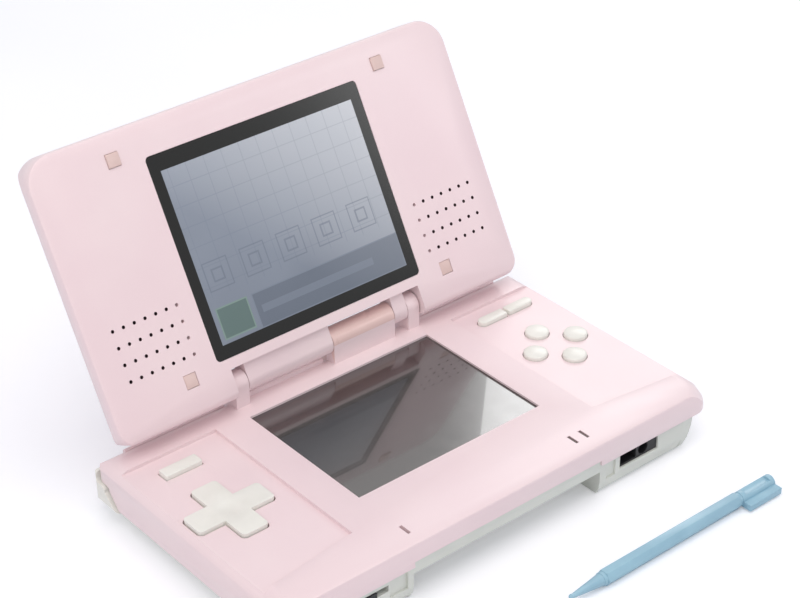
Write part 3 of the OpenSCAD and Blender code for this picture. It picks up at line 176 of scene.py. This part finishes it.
# Two close colours, roughness and its spread, clouds and grain per mm, depth of the grain in mm
FINISHES = {
    # pearl lacquer on moulded pink plastic: pale highlights that spread softly, over a painted
    # sheen and painted flake glints
    "pearl_pink_shell": finish("pearl_pink_shell", "E9D1D4", "EDD8D9", 0.38, 0.04, 0.03, 6.0,
                               0.003, coat=0.4, coat_rough=0.3, extra=pearl),
    # fine-textured white plastic of the underside: dull and slightly green
    "white_shell": finish("white_shell", "D3D6CE", "DDDFD7", 0.5, 0.05, 0.06, 2.5, 0.02),
    # moulded cream plastic of the keys: satin with a thin polish
    "white_cap": finish("white_cap", "E4E3DA", "ECEBE3", 0.34, 0.05, 0.12, 4.0, 0.003, coat=0.2),
    # glass-filled black plastic: grey in the light, with a fine grain
    "black_resin": finish("black_resin", "1B1B1E", "27272A", 0.45, 0.06, 0.1, 3.0, 0.012),
    # green solder mask over glass fibre
    "circuit_board": finish("circuit_board", "17583A", "1E6A46", 0.4, 0.08, 0.3, 1.2, 0.03),
    # display glass in its frame: cool grey and smooth
    "display_module": finish("display_module", "7C8794", "8A95A2", 0.3, 0.05, 0.05, 2.0, 0.002),
    # touch film on glass over a display that is off: dark brown, mirrors the lid
    "touch_glass": finish("touch_glass", "2A2422", "322B29", 0.14, 0.03, 0.05, 1.0, 0.0002,
                          coat=1.0, coat_rough=0.02, ior=1.9),
    # rolled steel: bright, in slightly duller and shinier patches
    "steel": finish("steel", "A9AAAC", "BCBDBF", 0.33, 0.08, 0.4, 5.0, 0.006, metallic=1.0),
    # gold-plated contact springs: warm and bright
    "contact_brass": finish("contact_brass", "C79A45", "D9B162", 0.28, 0.06, 0.5, 4.0, 0.004,
                            metallic=1.0),
    # clear moulded resin of the light guides: smooth and dark, with a painted red glow on the
    # left one
    "light_guide": finish("light_guide", "8A5E55", "9A6B60", 0.25, 0.05, 0.4, 3.0, 0.002,
                          extra=guides),
    # soft rubber, matched to the shell but dull
    "rubber_pad": finish("rubber_pad", "D9BDB6", "E0C7C0", 0.6, 0.05, 0.2, 5.0, 0.01),
    # satin light blue moulded plastic of the stylus
    "stylus_blue": finish("stylus_blue", "8FB6C8", "9BC2D2", 0.36, 0.05, 0.1, 4.0, 0.004,
                          coat=0.15),
    # pearl lacquer of the fixed barrel: warmer and glossier than the shell, with the same
    # painted sheen and glints
    "barrel_peach": finish("barrel_peach", "E0BDB6", "E9C8C0", 0.3, 0.04, 0.05, 6.0, 0.003,
                           coat=0.7, coat_rough=0.15, extra=pearl),
    # walls of the small speaker holes: dark, as light hardly reaches them
    "hole_shade": finish("hole_shade", "3A2228", "472C32", 0.7, 0.05, 0.2, 4.0, 0.01),
    # woven dust cloth behind the speaker holes: near black and dull
    "speaker_cloth": finish("speaker_cloth", "191213", "231A1B", 0.85, 0.05, 0.4, 5.0, 0.02),
}


def inside(t, v, lo, hi):
    """1 where the value lies between two limits, with a soft edge of 0.1 mm."""
    rise = add(t, "MapRange", v, lo - 0.05, lo + 0.05, 0.0, 1.0)
    fall = add(t, "MapRange", v, hi - 0.05, hi + 0.05, 1.0, 0.0)
    return add(t, "Math", rise, fall, operation="MULTIPLY")


def area(t, place, box):
    """1 inside a rectangle of the screen: left, right, lower and upper side."""
    return add(t, "Math", inside(t, place[0], *box[:2]), inside(t, place[1], *box[2:]),
               operation="MULTIPLY")


def outline(t, place, box, line):
    """1 along the edge of a rectangle of the screen."""
    inner = (box[0] + line, box[1] - line, box[2] + line, box[3] - line)
    return add(t, "Math", area(t, place, box), area(t, place, inner), operation="SUBTRACT")


def paint(t, mask, strength, under, colour):
    """A colour laid over another where the mask is."""
    return add(t, "Mix", add(t, "Math", mask, strength, operation="MULTIPLY"), under,
               lin(colour), data_type="RGBA")


SCREEN = (-32.4, 32.4, 11.5, 61.4)
BAND = (-19, 32.4, 11.5, 21.5)
TILE = (-31, -20.5, 12.5, 21.5)
GRID = 2.9  # half the distance of two grid lines
GRID_FOOT = 24  # the grid begins above this height


def screen_material():
    """Black acrylic window over a grey display film with a plain grid, boxes, band and tile; the
    film is painted lighter towards its top and carries a painted reflection at its top right.
    """
    m, t, p = new_material("upper_screen")
    from_axis = add(t, "VectorMath", p, AXIS / MM, operation="SUBTRACT")
    x = add(t, "SeparateXYZ", from_axis).outputs[0]
    v = add(t, "VectorMath", from_axis, UP, operation="DOT_PRODUCT")
    place = (x, v)
    # Painted light: the display film is darker at the bottom and lighter towards its top
    picture = add(t, "Mix", add(t, "MapRange", v, 12, 61, 0.0, 1.0), lin("757E8B"),
                  lin("8B939F"), data_type="RGBA")
    # Painted reflection of a lamp: the display film pales towards its top right
    painted_reflection_slant = add(t, "Math", x, add(t, "Math", v, 1.1, operation="MULTIPLY"), operation="ADD")
    picture = paint(t, add(t, "MapRange", painted_reflection_slant, 25, 98, 0.0, 1.0), 0.95, picture, "D2D5D8")
    clouds = add(t, "TexNoise", p, 0.03, 2.0, 0.5)
    picture = paint(t, add(t, "MapRange", clouds, 0.3, 0.7, 0.0, 1.0), 0.25, picture, "9DA7B4")
    lines = []
    for value, shift in ((x, 100.0), (v, 100.3)):
        wave = add(t, "Math", add(t, "Math", value, shift, operation="ADD"), GRID,
                   operation="PINGPONG")
        lines.append(add(t, "MapRange", wave, 0.0, 0.2, 1.0, 0.0))
    lines = add(t, "Math", *lines, operation="MAXIMUM")
    lines = add(t, "Math", lines, add(t, "MapRange", v, GRID_FOOT, GRID_FOOT + 1, 0.0, 1.0),
                operation="MULTIPLY")
    picture = paint(t, lines, 0.3, picture, "6A7484")
    for i in range(5):
        left = -30.5 + 12.4 * i
        boxes = add(t, "Math", outline(t, place, (left, left + 8.2, 26.0, 34.2), 0.35),
                    outline(t, place, (left + 2.2, left + 6.0, 28.2, 32.0), 0.5),
                    operation="MAXIMUM")
        picture = paint(t, boxes, 0.45, picture, "5F6878")
    picture = paint(t, area(t, place, BAND), 0.6, picture, "56606E")
    picture = paint(t, outline(t, place, BAND, 0.3), 0.5, picture, "8A94A2")
    picture = paint(t, area(t, place, (-17, 22, 15.5, 17.6)), 0.35, picture, "8C96A4")
    picture = paint(t, area(t, place, TILE), 0.7, picture, "4C6A5C")
    picture = paint(t, outline(t, place, TILE, 0.4), 0.6, picture, "8FA79C")
    seen = area(t, place, SCREEN)
    b = add(t, "BsdfPrincipled", IOR=1.42,
            Base_Color=add(t, "Mix", seen, lin("0B0C0C"), picture, data_type="RGBA"),
            Roughness=add(t, "MapRange", seen, 0, 1, 0.16, 0.32))
    add(t, "OutputMaterial", Surface=b)
    return m


FINISHES["window_black"] = screen_material()
for name, obj in nodes.items():
    obj.data.materials.clear()
    obj.data.materials.append(FINISHES[slots[name]])


def on_lid(co):
    """Place in the lid's own directions, in mm from the hinge axis: across, up, out."""
    d = (co - AXIS) / MM
    return d.dot(ACROSS), d.dot(UP), d.dot(OUT)


def smooth_by_angle(bm, degrees):
    """Smooth faces with sharp edges above an angle."""
    limit = math.radians(degrees)
    for f in bm.faces:
        f.smooth = True
    for e in bm.edges:
        e.smooth = len(e.link_faces) == 2 and e.calc_face_angle(0.0) < limit


def finished(name, bm, body, *finishes):
    """The object of a finished mesh, riding on a body."""
    mesh = bpy.data.meshes.new(name)
    bm.to_mesh(mesh)
    bm.free()
    obj = bpy.data.objects.new(name, mesh)
    scene.collection.objects.link(obj)
    for f in finishes:
        mesh.materials.append(FINISHES[f])
    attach(obj, body)
    return obj


SHARP = 32  # degrees between two faces from which their edge shows


def dressed(name, width=0.0, segments=2, keep=None, long=0.0, other=None):
    """A copy of a CAD node with merged faces, softened edges and smooth shading.

    keep tells by their middle in mm which edges soften, and long is their least length in mm;
    other is a second finish and the test of the faces that take it."""
    bm = bmesh.new()
    bm.from_mesh(nodes[name].data)
    bmesh.ops.remove_doubles(bm, verts=bm.verts, dist=0.002 * MM)
    bmesh.ops.dissolve_limit(bm, angle_limit=math.radians(0.6), verts=bm.verts, edges=bm.edges)
    if other:
        for f in bm.faces:
            f.material_index = int(other[1](f))
    if width:
        edges = [e for e in bm.edges if len(e.link_faces) == 2
                 and e.calc_face_angle(0.0) > math.radians(SHARP) and e.is_convex
                 and e.calc_length() >= long * MM
                 and (keep is None or keep((e.verts[0].co + e.verts[1].co) / 2 / MM))]
        bmesh.ops.bevel(bm, geom=edges, offset=width * MM, segments=segments, profile=0.5,
                        affect="EDGES", clamp_overlap=True, material=-1)
    smooth_by_angle(bm, SHARP)
    obj = finished(name + "_look", bm, nodes[name]["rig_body"], slots[name],
                   *(other[:1] if other else ()))
    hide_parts(name)


HOLES_ACROSS = (42, 64)  # field of the speaker holes on both sides of the lid
HOLES_UP = (12, 60)
BARREL_END = 24.2
BARREL_REACH = 3.75  # a little over the radius of the barrel


def hole_wall(f):
    """Walls of the speaker holes in the lid's front cover: narrow faces square to its front."""
    x, v, _ = on_lid(f.calc_center_median())
    sides = [e.calc_length() / MM for e in f.edges]
    return (HOLES_ACROSS[0] < abs(x) < HOLES_ACROSS[1] and HOLES_UP[0] < v < HOLES_UP[1]
            and abs(f.normal.dot(OUT)) < 0.2 and min(sides) < 0.3 and max(sides) < 3)


def fixed_barrel(f):
    """The middle barrel of the hinge, between the lid's barrel and its knuckle."""
    d = (f.calc_center_median() - AXIS) / MM
    return 0 < d.x < BARREL_END and math.hypot(d.y, d.z) < BARREL_REACH and d.z > -0.5


for name in ("d_pad", "button_a", "button_b", "button_x", "button_y", "start_button",
             "select_button", "power_button"):
    dressed(name, 0.35, 3)
for name in ("shoulder_left", "shoulder_right"):
    dressed(name, 0.5, 3)
dressed("stylus", 0.12, 2)
dressed("lid_bumpers", 0.25, 3)
dressed("lid_screw_caps", 0.1, 2)
dressed("base_top_cover", 0.3, 2, keep=lambda c: c.z > 6 and c.y < 28, long=5,
        other=("barrel_peach", fixed_barrel))
dressed("base_bottom_case", 0.3, 2, keep=lambda c: c.y < 28, long=4)
dressed("lid_front_cover", 0.3, 2, keep=lambda c: on_lid(c * MM)[1] > 8, long=5,
        other=("hole_shade", hole_wall))
dressed("lid_back_cover")


def strip(name, x0, x1, section):
    """A pink bar along the hinge; its section is back and up from the hinge axis in mm."""
    bm = bmesh.new()
    face = bm.faces.new([bm.verts.new((x0 * MM, AXIS.y + a * MM, AXIS.z + b * MM))
                         for a, b in section])
    ends = bmesh.ops.extrude_face_region(bm, geom=[face])
    bmesh.ops.translate(bm, vec=((x1 - x0) * MM, 0, 0),
                        verts=[g for g in ends["geom"] if isinstance(g, bmesh.types.BMVert)])
    bmesh.ops.recalc_face_normals(bm, faces=bm.faces)
    smooth_by_angle(bm, SHARP)
    finished(name, bm, nodes["base_top_cover"]["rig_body"], "pearl_pink_shell")


# Low lips along the rear of the top cover, under the lid's heel and under its barrel
LIP = ((0.7, -7.2), (0.7, -6.5), (0.9, -6.25), (1.2, -6.2), (1.6, -6.35), (1.95, -6.9),
       (1.9, -8.2))
APRON = ((-0.6, -6.8), (-0.6, -4.9), (-0.3, -4.7), (0.3, -4.7), (0.9, -4.9), (1.4, -5.5),
         (1.9, -6.9), (1.9, -8.2))
strip("rear_lip_left", -66, -33.5, LIP)
strip("rear_lip_right", 34.5, 66, LIP)
strip("barrel_apron", -31, 0, APRON)

# White sheets behind the openings in the bottom case's front corners: at each turn round the
# corner, the distance of the case's outer face from the corner's middle at each height, in mm
CORNER = (64, -30)
HEIGHTS = (1.2, 2.0, 3.0, 4.0)
REACH = {30: (7.0, 7.6, 8.3, 8.8), 45: (7.4, 8.1, 8.8, 9.4), 55: (7.9, 8.5, 9.2, 9.7),
         65: (8.3, 8.95, 9.6, 10.1), 75: (9.0, 9.7, 10.4, 11.0)}
SHEET_FACES = (0.22, 0.45)  # depths of the sheet's two faces behind the case's outer face
for side, name in ((-1, "corner_backing_left"), (1, "corner_backing_right")):
    bm = bmesh.new()
    for depth in SHEET_FACES:
        rows = []
        for turn, reach in REACH.items():
            c, s = math.cos(math.radians(turn)), math.sin(math.radians(turn))
            rows.append([bm.verts.new((side * (CORNER[0] + (q - depth) * c) * MM,
                                       (CORNER[1] - (q - depth) * s) * MM, z * MM))
                         for q, z in zip(reach, HEIGHTS)])
        for a, b in zip(rows, rows[1:]):
            for j in range(len(HEIGHTS) - 1):
                bm.faces.new((a[j], b[j], b[j + 1], a[j + 1]))
    bmesh.ops.bridge_loops(bm, edges=[e for e in bm.edges if e.is_boundary])
    bmesh.ops.recalc_face_normals(bm, faces=bm.faces)
    smooth_by_angle(bm, 40)
    finished(name, bm, nodes["base_bottom_case"]["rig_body"], "white_shell")

# Dust cloth between each speaker and the lid's front cover
CLOTH = (21.5, 16.8, 0.06)
for side in ("left", "right"):
    speaker = nodes["speaker_" + side]
    spots = [on_lid(v.co) for v in speaker.data.vertices]
    x, v = ((min(q[i] for q in spots) + max(q[i] for q in spots)) / 2 for i in (0, 1))
    front = max(q[2] for q in spots) + 0.045
    centre = AXIS + (ACROSS * x + UP * v + OUT * front) * MM
    turn = Matrix((ACROSS, UP, OUT)).transposed().to_4x4()
    size = Matrix.Diagonal([c * MM for c in CLOTH] + [1])
    bm = bmesh.new()
    bmesh.ops.create_cube(bm, size=1.0)
    bmesh.ops.transform(bm, verts=bm.verts, matrix=Matrix.Translation(centre) @ turn @ size)
    finished("speaker_cloth_" + side, bm, speaker["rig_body"], "speaker_cloth")


def floor_material():
    """Matt white paper: the camera sees it a little brighter than it is lit, shadows stay."""
    m, t, p = new_material("floor_paper")
    clouds = add(t, "TexNoise", p, 0.01, 2.0, 0.5)
    seen = add(t, "LightPath").outputs["Is Camera Ray"]
    b = add(t, "BsdfPrincipled", Roughness=0.9, IOR=1.3,
            Base_Color=add(t, "Mix", add(t, "MapRange", clouds, 0.3, 0.7, 0.0, 1.0),
                           lin("F2F3F6"), lin("F5F6F9"), data_type="RGBA"),
            Normal=add(t, "Bump", Strength=0.2, Distance=0.01 * MM,
                       Height=add(t, "TexNoise", p, 0.5, 2.0, 0.5)),
            Emission_Strength=add(t, "Math", seen, 0.17, operation="MULTIPLY"))
    b.inputs["Emission Color"].default_value = (1, 1, 1, 1)
    add(t, "OutputMaterial", Surface=b)
    return m


# Floor, a little below the feet so that the two don't share a plane
bm = bmesh.new()
bmesh.ops.create_grid(bm, x_segments=1, y_segments=1, size=6.0)
bmesh.ops.translate(bm, verts=bm.verts, vec=(0, 0, -0.2 * MM))
floor_mesh = bpy.data.meshes.new("floor")
bm.to_mesh(floor_mesh)
bm.free()
floor = bpy.data.objects.new("floor", floor_mesh)
scene.collection.objects.link(floor)
floor_mesh.materials.append(floor_material())

# Sky: white where it is seen or mirrored, half as bright where it lights the object
world = bpy.data.worlds.new("studio")
scene.world = world
world.use_nodes = True
sky = world.node_tree
sky.nodes.clear()
path = add(sky, "LightPath").outputs
seen = add(sky, "Math", path["Is Camera Ray"],
           add(sky, "Math", path["Is Glossy Ray"], path["Is Transmission Ray"],
               operation="MAXIMUM"), operation="MAXIMUM")
soft = add(sky, "Background", Color=lin("EEF2FF"), Strength=0.5)
white = add(sky, "Background", Color=(1, 1, 1, 1), Strength=1.0)
add(sky, "OutputWorld", Surface=add(sky, "MixShader", seen, soft, white))


def softbox(name, at, aim, size, level, colour="FFFFFF"):
    """A rectangular lamp whose face has the given brightness, where white paper has 1."""
    data = bpy.data.lights.new(name, "AREA")
    data.shape = "RECTANGLE"
    data.size, data.size_y = size
    data.energy = level * math.pi * size[0] * size[1]
    data.color = lin(colour)[:3]
    obj = bpy.data.objects.new(name, data)
    scene.collection.objects.link(obj)
    obj.location = at
    obj.rotation_mode = "QUATERNION"
    obj.rotation_quaternion = (Vector(aim) - Vector(at)).to_track_quat("-Z", "Y")


# Three broad warm lamps, above and at the left, and two small white ones at the right
WARM = "FFF8F2"
softbox("overhead", (0.0, -0.15, 0.8), (0, 0, 0), (0.8, 0.6), 1.8, WARM)
softbox("front_left", (-0.75, -0.85, 0.75), (0, 0, 0.03), (0.7, 0.7), 1.7, WARM)
softbox("left", (-0.7, 0.1, 0.6), (-0.05, 0, 0.02), (0.5, 0.5), 1.6, WARM)
softbox("front_right", (0.78, -0.72, 0.52), (0.01, 0.06, 0.06), (0.30, 0.34), 4.0)
softbox("back_right", (0.66, 0.47, 0.50), (0.04, 0.0, 0.015), (0.30, 0.30), 3.5)
